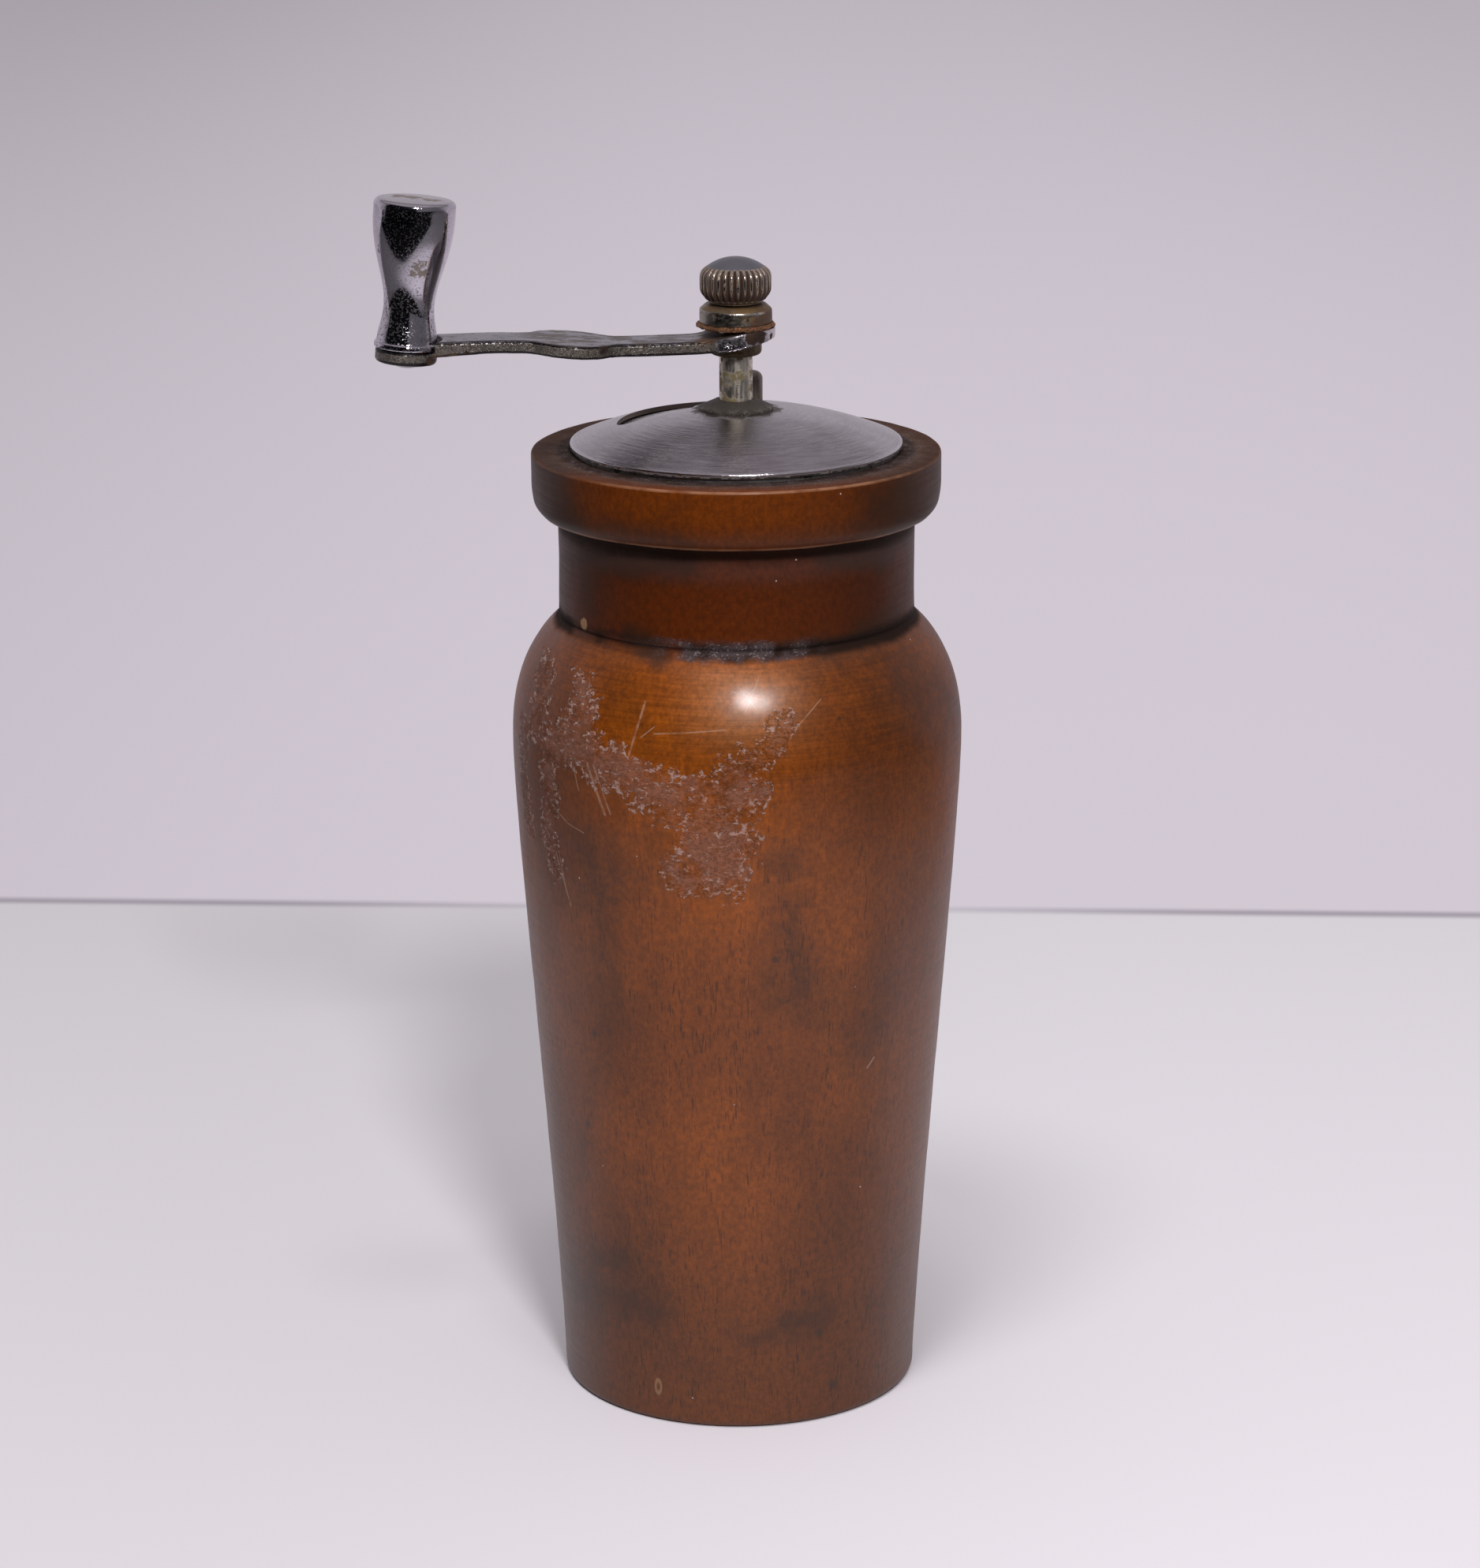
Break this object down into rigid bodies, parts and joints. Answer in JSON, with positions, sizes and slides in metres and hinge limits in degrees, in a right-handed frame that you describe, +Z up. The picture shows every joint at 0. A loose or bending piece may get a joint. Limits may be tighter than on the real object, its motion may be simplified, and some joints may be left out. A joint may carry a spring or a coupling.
{
  "type": "hand cranked salt mill",
  "caption": "Turned wooden salt mill with a waisted neck and collar, a domed metal lid with a sliding shutter, and a crank with a waisted handle.",
  "frame": {"origin": "middle of the underside of the foot, on the spindle's axis", "axes": "+Z up along the spindle, -X from the spindle to the crank's handle at rest, +Y away from the viewer"},
  "size_m": [0.0887, 0.0688, 0.1876],
  "materials": {
    "wood": "worn oiled wood, near-black grime in the groove",
    "lid_chrome": "brushed, hazy, with fine scratches",
    "lid_steel": "dull pressed steel",
    "spindle_zinc": "stained zinc plate",
    "collar_brown": "tarnished, brown",
    "arm_plate": "worn plate over a rough forging, rust spots",
    "washer_rust": "thin rust",
    "nut_steel": "worn plate with a rusty edge",
    "knob_steel": "worn plate, dirt in the flutes",
    "handle_chrome": "polished, pitted, brown stains",
    "inner_steel": "plain steel",
    "bush_bronze": "plain bronze",
    "burr_iron": "hardened, dark"
  },
  "bodies": {
    "mill": {"wood_body": "wood", "lid_ring": "lid_steel", "lid_cover": "lid_chrome", "lid_bushing": "spindle_zinc", "shutter_washer": "lid_steel", "bushing_nut": "lid_steel", "grinder_bridge": "inner_steel", "bridge_bush": "bush_bronze", "burr_ring": "burr_iron", "base_plate": "inner_steel", "base_screws": "inner_steel"},
    "crank": {"drive_sleeve": "spindle_zinc", "hub_collar": "collar_brown", "crank_arm": "arm_plate", "arm_washer": "washer_rust", "ring_nut": "nut_steel", "sleeve_clip": "inner_steel", "spring_washer": "inner_steel", "grinder_spring": "inner_steel"},
    "handle": {"handle_knob": "handle_chrome", "handle_pin": "handle_chrome"},
    "adjuster": {"adjuster_knob": "knob_steel"},
    "rod": {"centre_rod": "inner_steel", "drive_pin": "inner_steel", "burr_cone": "burr_iron", "burr_washer": "inner_steel", "burr_nut": "inner_steel"},
    "shutter": {"shutter_plate": "lid_steel", "shutter_peg": "spindle_zinc"}
  },
  "joints": [
    {"name": "crank_turn", "type": "hinge", "parent": "mill", "child": "crank", "pos_m": [0, 0, 0.16], "axis": [0, 0, 1], "continuous": true},
    {"name": "handle_spin", "type": "hinge", "parent": "crank", "child": "handle", "pos_m": [-0.0495, 0, 0.16505], "axis": [0.0819, 0, 0.9966], "continuous": true},
    {"name": "adjuster_turn", "type": "hinge", "parent": "crank", "child": "adjuster", "pos_m": [0, 0, 0.1703], "axis": [0, 0, 1], "range_deg": [-360, 360]},
    {"name": "rod_slide", "type": "slide", "parent": "crank", "child": "rod", "axis": [0, 0, 1], "range_m": [-0.0005, 0.0005], "deforming": ["grinder_spring"]},
    {"name": "shutter_turn", "type": "hinge", "parent": "mill", "child": "shutter", "pos_m": [0, 0, 0.153], "axis": [0, 0, 1], "range_deg": [0, 94]}
  ],
  "couplings": [
    {"joint": "adjuster_turn", "follows": "rod_slide", "rad_per_m": -12566}
  ]
}
